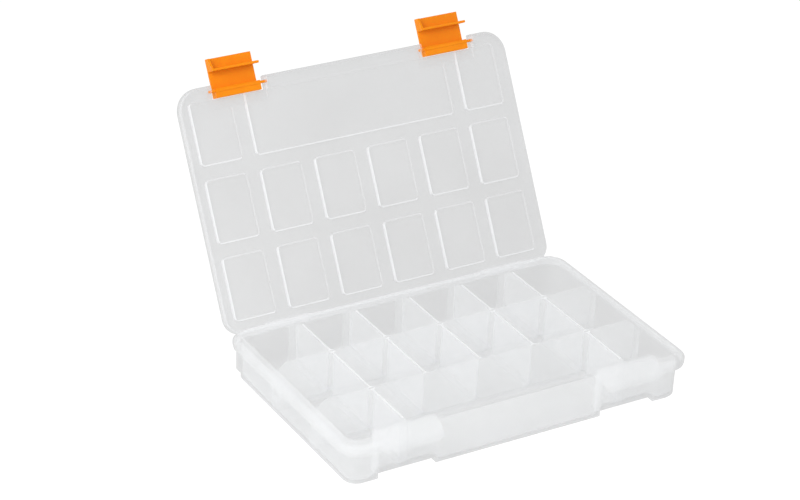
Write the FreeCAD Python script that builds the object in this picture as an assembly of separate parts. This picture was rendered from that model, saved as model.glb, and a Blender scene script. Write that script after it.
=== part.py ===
import FreeCAD, Part
import os
from math import cos, hypot, radians, tan

os.makedirs("parts", exist_ok=True)

Vector = FreeCAD.Vector
across = Vector(1, 0, 0)
backwards = Vector(0, 1, 0)
upwards = Vector(0, 0, 1)

# Compartment grid of the tray, seen from above
column_count = 6
column_pitch = 44.0
side_extra = 2.0             # the outer columns are wider by this, wall included
row_pitch = 56.2
rear_row_depth = 56.8        # rear cross wall's centre to the outside of the back
front_row_depth = 53.8       # front cross wall's centre to the outside of the front
front_divider_column = 2     # the front row keeps only the dividers on this column line, left and right

# Tray moulding
wall = 1.4
floor = 1.6
divider = 1.2                # thickness at the top
rim_height = 34.4
divider_rise = 2.1           # divider tops above the rim
draft_angle = 0.7
cove_radius = 3.0            # inside the compartments
inward_bevel = 2.0           # where a compartment goes round a latch recess
corner_radius = 10.6
base_bevel = 1.4
rim_bevel = 0.7

# Divider tops, which slope down to the outer walls
slope_drop = 7.5
side_slope = 8.6
rear_slope = 13.0
divider_nose_radius = 3.5

# Latch recesses in the front wall
latch_offset = 86.6          # middle of the tray to the middle of a latch
recess_inner_reach = 20.5    # from the latch's centre towards the middle of the tray
recess_outer_reach = 25.4
recess_depth = 7.6

# Bead around the rim, a hollow lip that is open below
bead_drop = 2.5              # rim to the bead's top
bead_reach = 5.5
bead_skin = 1.4
shoulder_bevel = 1.6
lip_start_drop = 4.0         # bead's top to where the lip curls in
lip_low_drop = 6.4
lip_inset = 0.6              # how far the lip's lower edge comes back in

# Catch over each recess: the rim carried outwards, sloping down to a flap
catch_reach = 6.1
catch_setback = 0.5          # the slope starts this far behind the front wall's outside
catch_slope_drop = 7.4
catch_flap_drop = 11.6       # rim to the flap's lower edge
catch_crest_radius = 2.0
catch_outer_radius = 2.8
catch_corner_radius = 4.5    # flap's lower corners, seen from the front

# Hinge pins of the tray and knuckles of the lid
hinge_reach = 3.4            # pin's centre to the outside of the back wall
hinge_drop = 4.55            # rim to the pin's centre
hinge_offset = 90.0
hinge_length = 36.0
pin_radius = 1.6
pin_clearance = 0.08
lug_radius = 2.8
lug_width = 2.0
knuckle_wall = 1.5
knuckle_play = 0.4           # along the pin, each side
snap_mouth = 2.7
lid_open_angle = 119.0

# Lid moulding, described closed
lid_side_overhang = 1.5
lid_front_overhang = 5.7
lid_rear_overhang = 4.4
lid_plate = 1.5
skirt = 1.5
skirt_gap = 0.3              # above the rim
lid_front_radius = 17.0
lid_rear_radius = 12.0
lid_edge_bevel = 1.0

# Ribs under the lid, one ring over each compartment
ring_width = 33.2
ring_depth = 46.4
ring_rib = 1.0
ring_height = 2.2
ring_gap = 0.7               # above the divider tops
ring_corner = 2.2            # bevel of the rings' corners
ring_row_lead = 29.1         # rear cross wall's centre to the rear rings' centres

# Latch notches of the lid
notch_width = 43.0
notch_depth = 10.1
cheek = 1.5
cheek_web = 1.3              # under the trunnion hole
rim_gap = 0.3                # between the cheeks and the tray
sill_depth = 7.0
sill_height = 1.8

# Latches, described closed
pivot_reach = 1.2            # pivot to the outside of the tray's front
pivot_rise = 1.1             # rim to the pivot
barrel_radius = 1.5
trunnion_radius = 1.0
trunnion_clearance = 0.08
latch_width = 35.6
block_behind = 0.8           # pivot to the block's inner face
block_above = 5.3
block_below = 1.6
block_radius = 1.0
blade = 1.6
blade_below = 23.4
catch_gap = 0.4
hook = 1.8
hook_reach = 7.8
hook_gap = 0.3
hook_radius = 0.6
hook_nub = 1.4               # the hook's far end passes the blade's edge
gusset = 1.5
gusset_end = 3.5
latch_open_angle = 90.0

quarter_turn = 90.0
overrun = 5.0                # how far a cutting shape passes the solid it cuts

# Places that follow from the sizes
grid_half_width = column_count * column_pitch / 2
tray_half_width = grid_half_width + side_extra
tray_half_depth = (rear_row_depth + row_pitch + front_row_depth) / 2
rear_cross_y = tray_half_depth - rear_row_depth
front_cross_y = rear_cross_y - row_pitch
front_divider_x = front_divider_column * column_pitch
recess_low_x = latch_offset - recess_inner_reach
recess_high_x = latch_offset + recess_outer_reach
recess_y = recess_depth - tray_half_depth
divider_height = rim_height + divider_rise
slope_low = divider_height - slope_drop
bead_top = rim_height - bead_drop
lip_start = bead_top - lip_start_drop
lip_low = bead_top - lip_low_drop
catch_low = rim_height - catch_flap_drop
hinge_y = tray_half_depth + hinge_reach
hinge_height = rim_height - hinge_drop
pivot_y = -tray_half_depth - pivot_reach
pivot_height = rim_height + pivot_rise


# Outlines, and solids grown from them

def grown(points, reach):
    """Moves every side of a right-angled outline, given anticlockwise, outwards by reach."""
    moved = []
    for before, here, after in zip(points[-1:] + points[:-1], points, points[1:] + points[:1]):
        way_in = (here - before).normalize()
        way_out = (after - here).normalize()
        outward = Vector(way_in.y + way_out.y, -way_in.x - way_out.x, 0)
        moved.append(here + outward * reach)
    return moved


def rectangle(left, front, right, back):
    return [Vector(left, front, 0), Vector(right, front, 0), Vector(right, back, 0), Vector(left, back, 0)]


def drafted(points, low, high, full_size_at):
    """A block on the outline whose sides lean outwards by the draft angle as they rise."""
    rings = []
    for level in (low, high):
        reach = (level - full_size_at) * tan(radians(draft_angle))
        rings.append([point + upwards * level for point in grown(points, reach)])
    bottom, top = rings
    faces = [Part.Face(Part.makePolygon(ring + ring[:1])) for ring in (bottom[::-1], top)]
    for i, point in enumerate(bottom):
        follower = (i + 1) % len(bottom)
        side = [point, bottom[follower], top[follower], top[i], point]
        faces.append(Part.Face(Part.makePolygon(side)))
    return Part.Solid(Part.Shell(faces))


def prism(points, low, high):
    base = [point + upwards * low for point in points]
    return Part.Face(Part.makePolygon(base + base[:1])).extrude(upwards * (high - low))


def box(left, front, low, right, back, high):
    return prism(rectangle(left, front, right, back), low, high)


def standing_edges(solid, x, y):
    """The rising edges of a block nearest to a point of the outline."""
    middle = (solid.BoundBox.ZMin + solid.BoundBox.ZMax) / 2
    rising = [edge for edge in solid.Edges if edge.BoundBox.ZLength > solid.BoundBox.ZLength / 2]
    return [min(rising, key=lambda edge: hypot(edge.CenterOfMass.x - x, edge.CenterOfMass.y - y))]


def level_edges(solid, level):
    near = wall / 2
    return [edge for edge in solid.Edges
            if abs(edge.BoundBox.ZMin - level) < near and abs(edge.BoundBox.ZMax - level) < near]


def long_edge(solid, y, z):
    """The edge along x nearest to a point of the section."""
    along = [edge for edge in solid.Edges if edge.BoundBox.XLength > solid.BoundBox.XLength / 2]
    return [min(along, key=lambda edge: hypot(edge.CenterOfMass.y - y, edge.CenterOfMass.z - z))]


def fused(shapes):
    return shapes[0].multiFuse(shapes[1:]).removeSplitter()


def mirrored(shape):
    return shape.mirror(Vector(0, 0, 0), across)


def bevelled_rectangle(width, depth, bevel, x, y, low, high):
    block = box(x - width / 2, y - depth / 2, low, x + width / 2, y + depth / 2, high)
    corners = [edge for edge in block.Edges if edge.BoundBox.ZLength > (high - low) / 2]
    return block.makeChamfer(bevel, corners)


def side_profile(points, left, right):
    """A solid between two x places on a side outline of (y, z) points."""
    outline = [Vector(left, y, z) for y, z in points]
    return Part.Face(Part.makePolygon(outline + outline[:1])).extrude(across * (right - left))


def rod(left, right, y, z, radius):
    return Part.makeCylinder(radius, right - left, Vector(left, y, z), across)


# Tray walls, with the recesses that the latches hook into

inner_side = tray_half_width - wall
inner_back = tray_half_depth - wall
inner_recess_y = recess_y + wall


def inner_outline():
    """Inside of the outer walls at the rim, anticlockwise from the front left corner."""
    far, near = recess_high_x + wall, recess_low_x - wall
    front_left = [Vector(-inner_side, -inner_back, 0), Vector(-far, -inner_back, 0),
                  Vector(-far, inner_recess_y, 0), Vector(-near, inner_recess_y, 0),
                  Vector(-near, -inner_back, 0)]
    front_right = [Vector(-point.x, point.y, 0) for point in reversed(front_left)]
    return front_left + front_right + [Vector(inner_side, inner_back, 0), Vector(-inner_side, inner_back, 0)]


def outer_block():
    outline = rectangle(-tray_half_width, -tray_half_depth, tray_half_width, tray_half_depth)
    block = drafted(outline, 0, rim_height, rim_height)
    corners = [edge for edge in block.Edges if edge.BoundBox.ZLength > rim_height / 2]
    block = block.makeFillet(corner_radius, corners)
    block = block.makeChamfer(base_bevel, level_edges(block, 0))
    return block.makeChamfer(rim_bevel, level_edges(block, rim_height))


def divider_crown():
    """The block under the sloping divider tops."""
    low_side, low_back = inner_side + wall / 2, inner_back + wall / 2
    low = slope_low - slope_drop * wall / 2 / side_slope
    front = inner_recess_y
    plain = box(-low_side, front, floor + cove_radius, low_side, low_back, divider_height)
    rear_low = slope_low - slope_drop * wall / 2 / rear_slope
    high = divider_height + overrun
    side_wedge = Part.Face(Part.makePolygon([
        Vector(low_side, front - overrun, low), Vector(inner_side - side_slope, front - overrun, divider_height),
        Vector(inner_side - side_slope, front - overrun, high), Vector(low_side, front - overrun, high),
        Vector(low_side, front - overrun, low)])).extrude(backwards * (low_back - front + 2 * overrun))
    rear_wedge = side_profile([(low_back, rear_low), (low_back, high), (inner_back - rear_slope, high),
                               (inner_back - rear_slope, divider_height)], -low_side - overrun, low_side + overrun)
    crown = plain.cut(side_wedge).cut(mirrored(side_wedge)).cut(rear_wedge)
    nose = [edge for edge in level_edges(crown, divider_height) if abs(edge.CenterOfMass.y - front) < wall / 2]
    return crown.makeFillet(divider_nose_radius, nose)


def inward_corners(points):
    """The places where an anticlockwise outline turns right."""
    triples = zip(points[-1:] + points[:-1], points, points[1:] + points[:1])
    return [here for before, here, after in triples if (here - before).cross(after - here).z < 0]


def compartment(points, round_corner=None):
    """The space of one compartment: coves round its floor, mitred, within rounded upright corners."""
    space = drafted(points, floor, divider_height + overrun, rim_height)
    inward = inward_corners(points)
    sharp = [point for point in points if point not in inward]
    if round_corner:
        space = space.makeFillet(corner_radius - wall, standing_edges(space, *round_corner))
        sharp = [point for point in sharp if hypot(point.x - round_corner[0], point.y - round_corner[1]) > wall]
    for point in inward:
        space = space.makeChamfer(inward_bevel, standing_edges(space, point.x, point.y))
    coved = space.makeFillet(cove_radius, level_edges(space, floor))
    upright = [edge for point in sharp for edge in standing_edges(space, point.x, point.y)]
    return coved.common(space.makeFillet(cove_radius, upright))


def compartments():
    """Every compartment of the tray, left to right and back to front."""
    half = divider / 2
    spaces = []
    rows = ((rear_cross_y + half, inner_back), (front_cross_y + half, rear_cross_y - half))
    for front, back in rows:
        for column in range(column_count):
            left = column * column_pitch - grid_half_width + half
            right = left + column_pitch - divider
            left = -inner_side if column == 0 else left
            right = inner_side if column == column_count - 1 else right
            corner = None
            if back == inner_back and column in (0, column_count - 1):
                corner = (-inner_side if column == 0 else inner_side, inner_back)
            spaces.append(compartment(rectangle(left, front, right, back), corner))
    back = front_cross_y - half
    far, near = recess_high_x + wall, recess_low_x - wall
    right_space = compartment(
        [Vector(front_divider_x + half, inner_recess_y, 0), Vector(far, inner_recess_y, 0),
         Vector(far, -inner_back, 0), Vector(inner_side, -inner_back, 0),
         Vector(inner_side, back, 0), Vector(front_divider_x + half, back, 0)], (inner_side, -inner_back))
    reach = front_divider_x - half
    centre_space = compartment(
        [Vector(-reach, inner_recess_y, 0), Vector(-near, inner_recess_y, 0), Vector(-near, -inner_back, 0),
         Vector(near, -inner_back, 0), Vector(near, inner_recess_y, 0), Vector(reach, inner_recess_y, 0),
         Vector(reach, back, 0), Vector(-reach, back, 0)])
    return spaces + [mirrored(right_space), centre_space, right_space]


def recess():
    """What is cut away in front of a latch; the catch bridges it afterwards."""
    outside = -tray_half_depth - overrun
    return box(recess_low_x, outside, -overrun, recess_high_x, recess_y, rim_height + overrun)


def catch():
    """The rim's ledge over a recess, its slope and its flap, of one thickness throughout."""
    crest_y, outer_y = catch_setback - tray_half_depth, -tray_half_depth - catch_reach
    run, slope_z = crest_y - outer_y, rim_height - catch_slope_drop
    slant = hypot(run, catch_slope_drop)
    root = recess_y + wall / 2
    under_z = slope_z - wall * (slant - catch_slope_drop) / run
    under_y = crest_y + wall * (slant - run) / catch_slope_drop
    left, right = recess_low_x - wall / 2, recess_high_x + wall / 2
    solid = side_profile([(root, rim_height), (crest_y, rim_height), (outer_y, slope_z), (outer_y, catch_low),
                          (outer_y + wall, catch_low), (outer_y + wall, under_z), (under_y, rim_height - wall),
                          (root, rim_height - wall)], left, right)
    corners = [edge for edge in level_edges(solid, catch_low) if edge.BoundBox.XLength < wall]
    solid = solid.makeFillet(catch_corner_radius, corners)
    solid = solid.makeFillet(catch_crest_radius, long_edge(solid, crest_y, rim_height))
    solid = solid.makeFillet(catch_outer_radius, long_edge(solid, outer_y, slope_z))
    return solid.makeFillet(catch_outer_radius - wall, long_edge(solid, outer_y + wall, under_z))


# Bead around the rim: one profile run along the straight walls and turned round the corners

def bead_profile():
    """The bead's section at x = 0 for a wall whose outside is at y = 0, reaching towards -y."""
    out, skin, root = -bead_reach, bead_skin - bead_reach, wall / 2
    crown, under, face = shoulder_bevel - bead_reach, bead_top - bead_skin, bead_top - shoulder_bevel
    outline = [Vector(0, y, z) for y, z in (
        (root, bead_top), (crown, bead_top), (out, face), (out, lip_start), (out + lip_inset, lip_low),
        (skin + lip_inset, lip_low), (skin, lip_start), (skin, face), (crown, under), (root, under))]
    return Part.Face(Part.makePolygon(outline + outline[:1]))


def bead():
    """The right half of the bead, from the catch round to the middle of the back."""
    section = bead_profile()
    corner_x, corner_y = tray_half_width - corner_radius, tray_half_depth - corner_radius
    section.translate(Vector(recess_high_x, -tray_half_depth, 0))
    pieces = [section.extrude(across * (corner_x - recess_high_x))]
    section.translate(across * (corner_x - recess_high_x))
    front_centre, rear_centre = Vector(corner_x, -corner_y, 0), Vector(corner_x, corner_y, 0)
    pieces.append(section.revolve(front_centre, upwards, quarter_turn))
    section.rotate(front_centre, upwards, quarter_turn)
    pieces.append(section.extrude(backwards * 2 * corner_y))
    section.translate(backwards * 2 * corner_y)
    pieces.append(section.revolve(rear_centre, upwards, quarter_turn))
    section.rotate(rear_centre, upwards, quarter_turn)
    hinge_high, hinge_low = hinge_offset + hinge_length / 2, hinge_offset - hinge_length / 2
    pieces.append(section.extrude(across * (hinge_high - corner_x)))
    section.translate(across * (hinge_low - corner_x))
    pieces.append(section.extrude(across * -hinge_low))
    return pieces


# Hinge

def lug_places():
    """Left side of each lug of the right hinge zone, one at each end of its pin."""
    return [hinge_offset - hinge_length / 2, hinge_offset + hinge_length / 2 - lug_width]


def hinge_pins():
    left, right = hinge_offset - hinge_length / 2, hinge_offset + hinge_length / 2
    root = tray_half_depth - wall / 2
    pieces = [rod(left, right, hinge_y, hinge_height, pin_radius)]
    for place in lug_places():
        nose = rod(place, place + lug_width, hinge_y, hinge_height, lug_radius)
        web = box(place, root, hinge_height - lug_radius, place + lug_width, hinge_y, hinge_height + lug_radius)
        pieces += [nose, web]
    return pieces


def knuckle():
    """The lid's snap knuckle of the right hinge zone, open below so that it presses onto the pin."""
    outer = pin_radius + pin_clearance + knuckle_wall
    before, after = lug_places()
    left, right = before + lug_width + knuckle_play, after - knuckle_play
    neck = box(left, lid_back - skirt, hinge_height, right, lid_back, skirt_low + skirt)
    bored = rod(left, right, hinge_y, hinge_height, outer).fuse(neck)
    bored = bored.cut(rod(left, right, hinge_y, hinge_height, pin_radius + pin_clearance))
    mouth = box(left, hinge_y - snap_mouth / 2, hinge_height - outer - overrun, right,
                hinge_y + snap_mouth / 2, hinge_height)
    return bored.cut(mouth)


# The whole tray moulding, and its split into floor and walls, cross walls and dividers

def tray_moulding():
    block = outer_block()
    upper_space = drafted(inner_outline(), floor + cove_radius, rim_height + overrun, rim_height)
    corners = [standing_edges(upper_space, x, y)[0] for x in (-inner_side, inner_side) for y in (-inner_back, inner_back)]
    upper_space = upper_space.makeFillet(corner_radius - wall, corners)
    block = block.cut(upper_space).fuse(divider_crown())
    block = block.cut(Part.makeCompound(compartments()))
    for cutter in (recess(), mirrored(recess())):
        block = block.cut(cutter)
    half = [catch()] + bead() + hinge_pins()
    return fused([block] + half + [mirrored(piece) for piece in half])


def tray_nodes():
    whole = tray_moulding()
    inside = drafted(inner_outline(), floor, divider_height + overrun, rim_height)
    foot = divider / 2 + (rim_height - floor) * tan(radians(draft_angle)) + cove_radius
    far = tray_half_width + overrun
    high = divider_height + overrun
    nodes = {}

    def take(name, region):
        nodes[name] = whole.common(region.common(inside))

    take("cross_wall_rear", box(-far, rear_cross_y - foot, floor, far, rear_cross_y + foot, high))
    take("cross_wall_front", box(-far, front_cross_y - foot, floor, far, front_cross_y + foot, high))
    rows = {"rear": (rear_cross_y + foot, tray_half_depth), "middle": (front_cross_y + foot, rear_cross_y - foot),
            "front": (-tray_half_depth, front_cross_y - foot)}
    for row, (front, back) in rows.items():
        for line in range(1, column_count):
            x = line * column_pitch - grid_half_width
            if row == "front" and abs(x) != front_divider_x:
                continue
            take(f"divider_{row}_{line}", box(x - foot, front, floor, x + foot, back, high))
    nodes["tray"] = whole.cut(Part.makeCompound(list(nodes.values())))
    return nodes


# Lid

lid_side = tray_half_width + lid_side_overhang
lid_front = -tray_half_depth - lid_front_overhang
lid_back = tray_half_depth + lid_rear_overhang
plate_low = divider_height + ring_gap + ring_height
lid_height = plate_low + lid_plate
skirt_low = rim_height + skirt_gap
notch_left, notch_right = latch_offset - notch_width / 2, latch_offset + notch_width / 2
notch_y = lid_front + notch_depth


def lid_block(inset, low, high):
    block = box(inset - lid_side, lid_front + inset, low, lid_side - inset, lid_back - inset, high)
    rising = [edge for edge in block.Edges if edge.BoundBox.ZLength > (high - low) / 2]
    front = [edge for edge in rising if edge.CenterOfMass.y < 0]
    block = block.makeFillet(lid_front_radius - inset, front)
    rising = [edge for edge in block.Edges
              if edge.BoundBox.ZLength > (high - low) / 2 and edge.CenterOfMass.y > lid_back - inset - skirt / 2]
    return block.makeFillet(lid_rear_radius - inset, rising)


def rings():
    """Ribs over the compartments; the three middle places of the front row share one wide ring."""
    low = plate_low - ring_height
    shapes = []

    def ring(width, x, y):
        outer = bevelled_rectangle(width, ring_depth, ring_corner, x, y, low, plate_low)
        inner = bevelled_rectangle(width - 2 * ring_rib, ring_depth - 2 * ring_rib,
                                   ring_corner - ring_rib / 2, x, y, low, plate_low)
        shapes.append(outer.cut(inner))

    first = rear_cross_y + ring_row_lead
    end_x = grid_half_width - column_pitch / 2
    for y in (first, first - row_pitch):
        for column in range(column_count):
            ring(ring_width, column * column_pitch - end_x, y)
    y = first - 2 * row_pitch
    ring(ring_width, -end_x, y)
    ring(ring_width, end_x, y)
    ring(2 * (end_x - column_pitch) + ring_width, 0, y)
    return shapes


def cheek_plate(left):
    """A wall beside a latch notch, cut to clear the catch and bored for the trunnion."""
    bore = trunnion_radius + trunnion_clearance
    low = pivot_height - bore - cheek_web
    plate = box(left, lid_front, low, left + cheek, notch_y, plate_low)
    crest_y, outer_y = catch_setback - tray_half_depth, -tray_half_depth - catch_reach
    lift = rim_gap * hypot(crest_y - outer_y, catch_slope_drop) / (crest_y - outer_y)
    slope_z = rim_height - catch_slope_drop
    relief = side_profile([(notch_y + overrun, low - overrun), (notch_y + overrun, rim_height + rim_gap),
                           (crest_y, rim_height + rim_gap), (outer_y, slope_z + lift), (outer_y, slope_z - overrun)],
                          left, left + cheek)
    hole = rod(left, left + cheek, pivot_y, pivot_height, bore)
    return plate.cut(relief).cut(hole)


def lid():
    shell = lid_block(0, skirt_low, lid_height)
    shell = shell.makeChamfer(lid_edge_bevel, level_edges(shell, lid_height))
    shell = shell.cut(lid_block(skirt, skirt_low, plate_low))
    notch = box(notch_left, lid_front - overrun, skirt_low - overrun, notch_right, notch_y, lid_height + overrun)
    sill = box(notch_left - cheek, notch_y, plate_low - sill_height, notch_right + cheek, notch_y + sill_depth,
               plate_low)
    clear = box(notch_left - cheek, lid_front, skirt_low, notch_right + cheek, notch_y + sill_depth, plate_low)
    half = [knuckle(), cheek_plate(notch_left - cheek), cheek_plate(notch_right), sill]
    ribs = Part.makeCompound(rings()).cut(Part.makeCompound([clear, mirrored(clear)]))
    shell = shell.cut(Part.makeCompound([notch, mirrored(notch)]))
    return fused([shell] + half + [mirrored(piece) for piece in half] + ribs.Solids)


# Latch, closed, at its own place on the lid

def latch(x):
    left, right = x - latch_width / 2, x + latch_width / 2
    blade_inner = -tray_half_depth - catch_reach - catch_gap
    blade_outer = blade_inner - blade
    top, bottom = pivot_height + block_above, pivot_height - blade_below
    block = box(left, blade_outer, pivot_height - block_below, right, pivot_y + block_behind, top)
    edges = [edge for edge in block.Edges if edge.BoundBox.XLength > latch_width / 2
             and edge.CenterOfMass.z > pivot_height]
    block = block.makeFillet(block_radius, edges)
    plate = box(left, blade_outer, bottom, right, blade_inner, pivot_height)
    flap_y = -tray_half_depth - catch_reach
    hook_top = pivot_height - hypot(flap_y - pivot_y, pivot_height - catch_low) - hook_gap
    hook_low, tip_y = hook_top - hook, blade_inner + hook_reach
    rib = box(left, blade_inner, hook_low, right + hook_nub, tip_y, hook_top)
    rib = rib.cut(box(right, blade_inner - overrun, hook_low, right + hook_nub, tip_y - hook_reach / 2, hook_top))
    rib = rib.makeFillet(hook_radius, long_edge(rib, tip_y, hook_top) + long_edge(rib, tip_y, hook_low))
    end_plate = side_profile([(blade_inner, hook_low), (blade_inner, bottom), (blade_inner + gusset_end, bottom),
                              (tip_y - hook_radius, hook_low)], left, left + gusset)
    reach = (notch_width - latch_width) / 2 + cheek
    barrel = rod(left, right, pivot_y, pivot_height, barrel_radius)
    trunnions = rod(left - reach, right + reach, pivot_y, pivot_height, trunnion_radius)
    return fused([block, plate, rib, end_plate, barrel, trunnions])


# Everything in its place: lid and latches stand open

nodes = tray_nodes()
nodes["lid"] = lid()
for name, x in (("latch_left", -latch_offset), ("latch_right", latch_offset)):
    opened = latch(x)
    opened.rotate(Vector(x, pivot_y, pivot_height), across, -latch_open_angle)
    nodes[name] = opened
for name in ("lid", "latch_left", "latch_right"):
    nodes[name].rotate(Vector(0, hinge_y, hinge_height), across, -lid_open_angle)

for name, shape in nodes.items():
    solids = shape.Solids
    if len(solids) != 1 or not shape.isValid():
        print(name, "has", len(solids), "solids, valid:", shape.isValid())
    solids[0].exportStep(f"parts/{name}.step")
print(len(nodes), "nodes")
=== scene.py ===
import math
import bpy
from mathutils import Matrix, Vector

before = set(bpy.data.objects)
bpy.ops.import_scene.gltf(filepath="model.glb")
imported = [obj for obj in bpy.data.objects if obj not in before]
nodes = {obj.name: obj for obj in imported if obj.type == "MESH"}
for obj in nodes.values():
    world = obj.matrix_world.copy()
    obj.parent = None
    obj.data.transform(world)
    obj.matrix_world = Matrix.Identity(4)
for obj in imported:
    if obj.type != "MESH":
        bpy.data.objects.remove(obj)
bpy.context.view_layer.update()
print("frame loaded:", len(nodes), "nodes")


def linearColour(hexText, alpha=1.0):
    # sRGB hex text to the linear values that the sockets take
    parts = [int(hexText[i:i + 2], 16) / 255 for i in (1, 3, 5)]
    return tuple(p / 12.92 if p <= 0.04045 else ((p + 0.055) / 1.055) ** 2.4 for p in parts) + (alpha,)


def addNode(tree, kind, settings=None, **links):
    # one node: its settings by socket name, socket number or attribute name, its links as socket=output, with
    # in0, in1 and so on for the sockets that share a name
    node = tree.nodes.new(kind)
    for key, value in (settings or {}).items():
        if isinstance(key, str) and hasattr(node, key):
            setattr(node, key, value)
        else:
            node.inputs[key if isinstance(key, int) else key.replace("_", " ")].default_value = value
    for key, source in links.items():
        numbered = key.startswith("in") and key[2:].isdigit()
        target = node.inputs[int(key[2:]) if numbered else key.replace("_", " ")]
        tree.links.new(source, target)
    return node


# Polypropylene, injection moulded from a natural grade: a thin wall passes most light straight and scatters the
# rest inside, so one wall looks grey and faint and several in a row look milky white
milky = {
    "tint": "#FAFBFC",
    "clear": 0.80,            # share of light that passes a face straight
    "clearDrift": 0.05,       # how far flow marks change that share
    "slantLoss": 0.12,        # how much of it is lost where the eye looks along the wall
    "slantPower": 4.0,        # how late towards the grazing view that loss sets in
    "edgeClear": 0.36,        # the share left along painted highlight lines, placed by position on wall tops and ribs
    "tipClear": 0.42,         # the same, a painted highlight, at the tips of ribs that run across
    "paintedDimRibClear": 0.86,       # painted shade: a higher share that keeps the ribs away from the lamp dim, placed by position
    "translucent": 0.5,       # share of the scattered light that leaves on the far side
    "roughness": 0.38,
    "gloss": 0.35,
    "flowMark": 0.05,         # metres from one flow mark to the next
    "grain": 0.0012,          # metres, coarser than the real skin so that it shows
    "grainStrength": 0.06, "grainDepth": 0.0002,
    "ior": 1.49,
}


def band(tree, source, middle, half, period=None):
    # 1 where a coordinate is within half of the middle, counted anew after every period
    if period:
        counted = addNode(tree, "ShaderNodeMath", {"operation": "FLOORED_MODULO", 1: period}, in0=source)
        source = counted.outputs["Value"]
    near = addNode(tree, "ShaderNodeMath", {"operation": "COMPARE", 1: middle, 2: half}, in0=source)
    return near.outputs["Value"]


def along(tree, place, direction, start=0.0):
    # distance of a point along a direction, in metres, less a start
    dot = addNode(tree, "ShaderNodeVectorMath", {"operation": "DOT_PRODUCT", 1: direction}, in0=place)
    less = addNode(tree, "ShaderNodeMath", {"operation": "SUBTRACT", 1: start}, in0=dot.outputs["Value"])
    return less.outputs["Value"]


def joined(tree, operation, first, second):
    # two values worked into one
    return addNode(tree, "ShaderNodeMath", {"operation": operation}, in0=first, in1=second).outputs["Value"]


# Where the tray's painted highlight lines go, in metres
tray = {
    "dividerTop": 0.0365, "topHalf": 0.00035,      # height of the divider tops, and half of the line's height
    "rowPitch": 0.0562, "crossWall": -0.0296,      # where the cross walls stand
    "wallHalf": 0.0008,
}


def trayPaintedHighlights(tree, place, look, clear):
    # painted highlight: the level tops of the dividers are made brighter by their height, but not those of the
    # cross walls
    tops = band(tree, along(tree, place, (0, 0, 1)), tray["dividerTop"], tray["topHalf"])
    clearOfSeam = 0.01      # metres that keep a wall off the place where the count starts anew
    fromFront = along(tree, place, (0, 1, 0), tray["crossWall"] - clearOfSeam)
    across = band(tree, fromFront, clearOfSeam, tray["wallHalf"], tray["rowPitch"])
    shine = joined(tree, "SUBTRACT", tops, across)
    return addNode(tree, "ShaderNodeMix", {3: look["edgeClear"]}, in0=shine, in2=clear).outputs[0]


# Where the lid's painted highlight lines go, in metres and in the frame of the closed lid
lid = {
    "openDegrees": 119, "hingeY": 0.0868, "hingeZ": 0.02985,
    "ribMiddle": 0.0382, "ribHalf": 0.0011,        # height of the ribs, from tip to plate
    "tipMiddle": 0.0372, "tipHalf": 0.00035,
    "ringWidthHalf": 0.1300, "ringDepthHalf": 0.0788,      # the rings end here, and the skirt stays out
    "columnPitch": 0.044, "columnStart": -0.132, "leftRib": 0.0059,
    "rowPitch": 0.0562, "hingeRib": 0.0222, "frontRib": 0.0330,
    "lineHalf": 0.0008,
    "frontShare": 0.5,      # how strong the painted highlight on the ribs towards the latches is, beside those towards the hinge
}


def lidPaintedHighlights(tree, place, look, clear):
    # painted highlights and shade, placed by position as if lit from the left: the left rib of each ring is
    # brighter from root to tip, the rib towards the hinge at its tip, the rib towards the latches less, and the
    # right rib is kept dim
    turn, hingeY, hingeZ = math.radians(lid["openDegrees"]), lid["hingeY"], lid["hingeZ"]
    up, back = (0, math.sin(turn), math.cos(turn)), (0, math.cos(turn), -math.sin(turn))
    level = along(tree, place, up, hingeY * up[1] + hingeZ * up[2] - hingeZ)
    depth = along(tree, place, back, hingeY * back[1] + hingeZ * back[2] - hingeY)
    inside = joined(tree, "MULTIPLY", band(tree, along(tree, place, (1, 0, 0)), 0.0, lid["ringWidthHalf"]),
                    band(tree, depth, 0.0, lid["ringDepthHalf"]))
    ribs = joined(tree, "MULTIPLY", band(tree, level, lid["ribMiddle"], lid["ribHalf"]), inside)
    tips = joined(tree, "MULTIPLY", band(tree, level, lid["tipMiddle"], lid["tipHalf"]), inside)
    fromLeft = along(tree, place, (1, 0, 0), lid["columnStart"])
    left = band(tree, fromLeft, lid["leftRib"], lid["lineHalf"], lid["columnPitch"])
    hinge = band(tree, depth, lid["hingeRib"], lid["lineHalf"], lid["rowPitch"])
    front = addNode(tree, "ShaderNodeMath", {"operation": "MULTIPLY", 1: lid["frontShare"]},
                    in0=band(tree, depth, lid["frontRib"], lid["lineHalf"], lid["rowPitch"])).outputs["Value"]
    lines = joined(tree, "MULTIPLY", tips, joined(tree, "MAXIMUM", hinge, front))
    sides = joined(tree, "MULTIPLY", ribs, left)
    faint = addNode(tree, "ShaderNodeMix", {3: look["paintedDimRibClear"]}, in0=ribs, in2=clear).outputs[0]
    lit = addNode(tree, "ShaderNodeMix", {3: look["edgeClear"]}, in0=sides, in2=faint).outputs[0]
    return addNode(tree, "ShaderNodeMix", {3: look["tipClear"]}, in0=lines, in2=lit).outputs[0]


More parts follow.
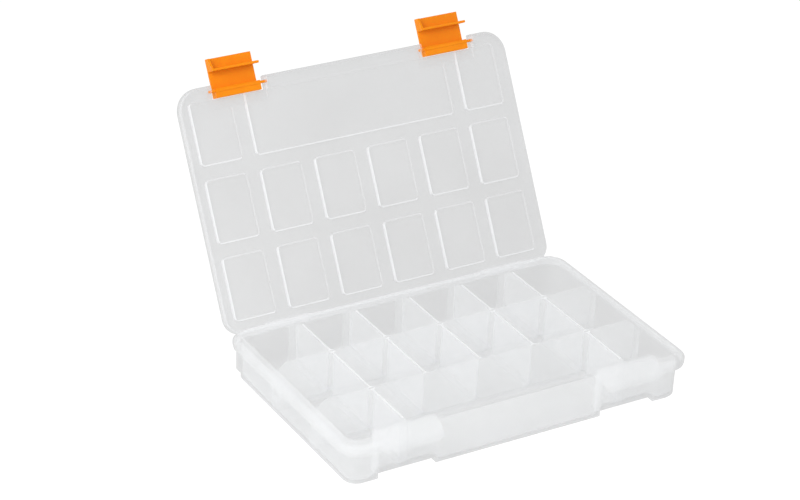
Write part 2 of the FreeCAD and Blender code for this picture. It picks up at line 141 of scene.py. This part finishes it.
def milkyPolypropylene(name, look, paintedLines):
    material = bpy.data.materials.new(name)
    material.use_nodes = True
    tree = material.node_tree
    tree.nodes.clear()
    place = addNode(tree, "ShaderNodeTexCoord")
    # slow drift of the milkiness, as the melt's flow leaves it
    flow = addNode(tree, "ShaderNodeTexNoise",
                   {"Scale": 1 / look["flowMark"], "Detail": 3.0, "Roughness": 0.55},
                   Vector=place.outputs["Object"])
    # the mould's finely blasted skin breaks the sheen up a little
    grain = addNode(tree, "ShaderNodeTexNoise", {"Scale": 1 / look["grain"], "Detail": 2.0},
                    Vector=place.outputs["Object"])
    bump = addNode(tree, "ShaderNodeBump", {"Strength": look["grainStrength"], "Distance": look["grainDepth"]},
                   Height=grain.outputs["Fac"])
    skin = addNode(tree, "ShaderNodeBsdfPrincipled",
                   {"Base_Color": linearColour(look["tint"]), "Roughness": look["roughness"],
                    "IOR": look["ior"], "Specular_IOR_Level": look["gloss"]},
                   Normal=bump.outputs["Normal"])
    body = addNode(tree, "ShaderNodeBsdfTranslucent", {"Color": linearColour(look["tint"])},
                   Normal=bump.outputs["Normal"])
    milk = addNode(tree, "ShaderNodeMixShader", {0: look["translucent"]},
                   in1=skin.outputs["BSDF"], in2=body.outputs["BSDF"])
    through = addNode(tree, "ShaderNodeBsdfTransparent", {"Color": (1, 1, 1, 1)})
    share = addNode(tree, "ShaderNodeMapRange",
                    {"From_Min": 0.3, "From_Max": 0.7, "To_Min": look["clear"] - look["clearDrift"] / 2,
                     "To_Max": look["clear"] + look["clearDrift"] / 2}, Value=flow.outputs["Fac"])
    # glassy loss at a slant: the way through the wall is longer there
    slant = addNode(tree, "ShaderNodeLayerWeight", {"Blend": 0.5})
    steep = addNode(tree, "ShaderNodeMath", {"operation": "POWER", 1: look["slantPower"]},
                    in0=slant.outputs["Facing"])
    kept = addNode(tree, "ShaderNodeMapRange", {"To_Min": 1.0, "To_Max": 1 - look["slantLoss"]},
                   Value=steep.outputs["Value"])
    clear = joined(tree, "MULTIPLY", share.outputs["Result"], kept.outputs["Result"])
    # painted highlight lines along wall tops and ribs, placed by position
    passed = paintedLines(tree, place.outputs["Object"], look, clear)
    whole = addNode(tree, "ShaderNodeMixShader", {}, in0=passed,
                    in1=milk.outputs["Shader"], in2=through.outputs["BSDF"])
    addNode(tree, "ShaderNodeOutputMaterial", {}, Surface=whole.outputs["Shader"])
    return material


# Polypropylene coloured through, moulded, for the latches: opaque and satin, a little light inside thin edges
orange = {
    "colour": "#F08E08", "deep": "#E68404",
    "roughness": 0.45, "gloss": 0.16, "ior": 1.49,
    "inside": 0.15, "insideReach": 0.002,          # share of light that enters, and metres it travels
    "streak": 1 / 90,                              # metres from one colour streak to the next
    "grain": 0.0009, "grainStrength": 0.1, "grainDepth": 0.0002,
}


def orangePolypropylene(name, look):
    material = bpy.data.materials.new(name)
    material.use_nodes = True
    tree = material.node_tree
    tree.nodes.clear()
    place = addNode(tree, "ShaderNodeTexCoord")
    grain = addNode(tree, "ShaderNodeTexNoise", {"Scale": 1 / look["grain"], "Detail": 2.0},
                    Vector=place.outputs["Object"])
    # faint colour streaks where the dye is mixed unevenly
    flow = addNode(tree, "ShaderNodeTexNoise", {"Scale": 1 / look["streak"], "Detail": 2.0},
                   Vector=place.outputs["Object"])
    colour = addNode(tree, "ShaderNodeMix", {"data_type": "RGBA"}, in0=flow.outputs["Fac"])
    colour.inputs[6].default_value = linearColour(look["deep"])
    colour.inputs[7].default_value = linearColour(look["colour"])
    bump = addNode(tree, "ShaderNodeBump", {"Strength": look["grainStrength"], "Distance": look["grainDepth"]},
                   Height=grain.outputs["Fac"])
    skin = addNode(tree, "ShaderNodeBsdfPrincipled",
                   {"Roughness": look["roughness"], "IOR": look["ior"], "Specular_IOR_Level": look["gloss"],
                    "Subsurface_Weight": look["inside"], "Subsurface_Scale": look["insideReach"]},
                   Base_Color=colour.outputs[2], Normal=bump.outputs["Normal"])
    addNode(tree, "ShaderNodeOutputMaterial", {}, Surface=skin.outputs["BSDF"])
    return material


trayPlastic = milkyPolypropylene("milkyPolypropyleneTray", milky, trayPaintedHighlights)
lidPlastic = milkyPolypropylene("milkyPolypropyleneLid", milky, lidPaintedHighlights)
latchPlastic = orangePolypropylene("orangePolypropylene", orange)
for name, piece in nodes.items():
    chosen = latchPlastic if name.startswith("latch") else lidPlastic if name == "lid" else trayPlastic
    piece.data.materials.clear()
    piece.data.materials.append(chosen)
print("materials done")


# Studio: white to the eye, soft light from a large lamp above and to the left
studio = {
    "floorSize": 6.0,
    "floorDrop": 0.0004,                           # metres below the tray's foot, so that faces don't coincide
    "worldStrength": 0.71,
    "floorBounce": 0.93, "floorShadow": 0.15,      # the paint's lightness to the lamps, and to the camera
    "floorGrey": 0.24,                             # and to the camera behind plastic, greyer there as painted shade
    "floorWhite": 0.90, "floorPaintedShadeBehind": 0.37,       # light added to the camera's view, bare and behind plastic, less behind it as painted shade
    "lampAim": (0, 0, 0.05),
    "lamps": (
        {"name": "keyLamp", "place": (-0.95, -0.45, 1.05), "size": 0.9, "power": 12.0},
        {"name": "fillLamp", "place": (1.4, -1.2, 1.2), "size": 1.2, "power": 3.5},
    ),
    "facesSeenThrough": 48,                        # a look through the whole tray passes dozens of faces
}

# Camera: where the photograph was taken from, fitted to the box's corners
view = {
    "place": (-0.8829, -1.3643, 0.9599),
    "right": (0.86366799, -0.50262139, 0.03807016),
    "up": (0.20512359, 0.41944917, 0.88430012),
    "back": (-0.46043665, -0.75593262, 0.46536433),
    "lens": 119.52, "sensorWidth": 36.0,
}


def whiteToTheEye(name, look):
    # plain pale paint, whitened for the camera and for reflections but still carrying the box's soft shadow;
    # seen through the plastic it gets less added light and a greyer paint, a painted shade darker than the bare
    # floor
    material = bpy.data.materials.new(name)
    material.use_nodes = True
    tree = material.node_tree
    tree.nodes.clear()
    ray = addNode(tree, "ShaderNodeLightPath")
    seen = addNode(tree, "ShaderNodeMath", {"operation": "MAXIMUM"},
                   in0=ray.outputs["Is Camera Ray"], in1=ray.outputs["Is Glossy Ray"])
    added = addNode(tree, "ShaderNodeMapRange", {"To_Min": look["floorWhite"], "To_Max": look["floorPaintedShadeBehind"]},
                    Value=ray.outputs["Transparent Depth"])
    strength = addNode(tree, "ShaderNodeMath", {"operation": "MULTIPLY"},
                       in0=added.outputs["Result"], in1=seen.outputs["Value"])
    grey = addNode(tree, "ShaderNodeMapRange", {"To_Min": look["floorShadow"], "To_Max": look["floorGrey"]},
                   Value=ray.outputs["Transparent Depth"])
    lightness = addNode(tree, "ShaderNodeMapRange", {"To_Min": look["floorBounce"]},
                        Value=seen.outputs["Value"], in4=grey.outputs["Result"])
    paint = addNode(tree, "ShaderNodeBsdfDiffuse", {}, Color=lightness.outputs["Result"])
    white = addNode(tree, "ShaderNodeEmission", {"Color": (1, 1, 1, 1)}, Strength=strength.outputs["Value"])
    both = addNode(tree, "ShaderNodeAddShader", {}, in0=paint.outputs["BSDF"], in1=white.outputs["Emission"])
    addNode(tree, "ShaderNodeOutputMaterial", {}, Surface=both.outputs["Shader"])
    return material


def buildStudio(look):
    half = look["floorSize"] / 2
    corners = [(-half, -half, 0), (half, -half, 0), (half, half, 0), (-half, half, 0)]
    mesh = bpy.data.meshes.new("studioFloor")
    mesh.from_pydata(corners, [], [(0, 1, 2, 3)])
    floor = bpy.data.objects.new("studioFloor", mesh)
    floor.location.z = -look["floorDrop"]
    bpy.context.collection.objects.link(floor)
    mesh.materials.append(whiteToTheEye("paleFloor", look))
    world = bpy.data.worlds.new("studioAir")
    world.use_nodes = True
    tree = world.node_tree
    tree.nodes.clear()
    ray = addNode(tree, "ShaderNodeLightPath")
    strength = addNode(tree, "ShaderNodeMapRange", {"To_Min": look["worldStrength"], "To_Max": 1.0},
                       Value=ray.outputs["Is Camera Ray"])
    air = addNode(tree, "ShaderNodeBackground", {"Color": (1, 1, 1, 1)}, Strength=strength.outputs["Result"])
    addNode(tree, "ShaderNodeOutputWorld", {}, Surface=air.outputs["Background"])
    bpy.context.scene.world = world
    for lamp in look["lamps"]:
        light = bpy.data.lights.new(lamp["name"], "AREA")
        light.size, light.energy = lamp["size"], lamp["power"]
        lampObject = bpy.data.objects.new(lamp["name"], light)
        lampObject.matrix_world = lookAt(lamp["place"], look["lampAim"])
        bpy.context.collection.objects.link(lampObject)


def lookAt(place, aim):
    # a place and a turn that point a lamp at the aim
    turn = (Vector(aim) - Vector(place)).to_track_quat("-Z", "Y")
    return Matrix.Translation(place) @ turn.to_matrix().to_4x4()


def buildCamera(look):
    camera = bpy.data.cameras.new("photoCamera")
    camera.lens, camera.sensor_width = look["lens"], look["sensorWidth"]
    cameraObject = bpy.data.objects.new("photoCamera", camera)
    matrix = Matrix((look["right"], look["up"], look["back"])).transposed().to_4x4()
    matrix.translation = look["place"]
    cameraObject.matrix_world = matrix
    bpy.context.collection.objects.link(cameraObject)
    bpy.context.scene.camera = cameraObject


buildStudio(studio)
buildCamera(view)
bpy.context.scene.view_settings.view_transform = "Standard"
bpy.context.scene.cycles.transparent_max_bounces = studio["facesSeenThrough"]
print("studio done")
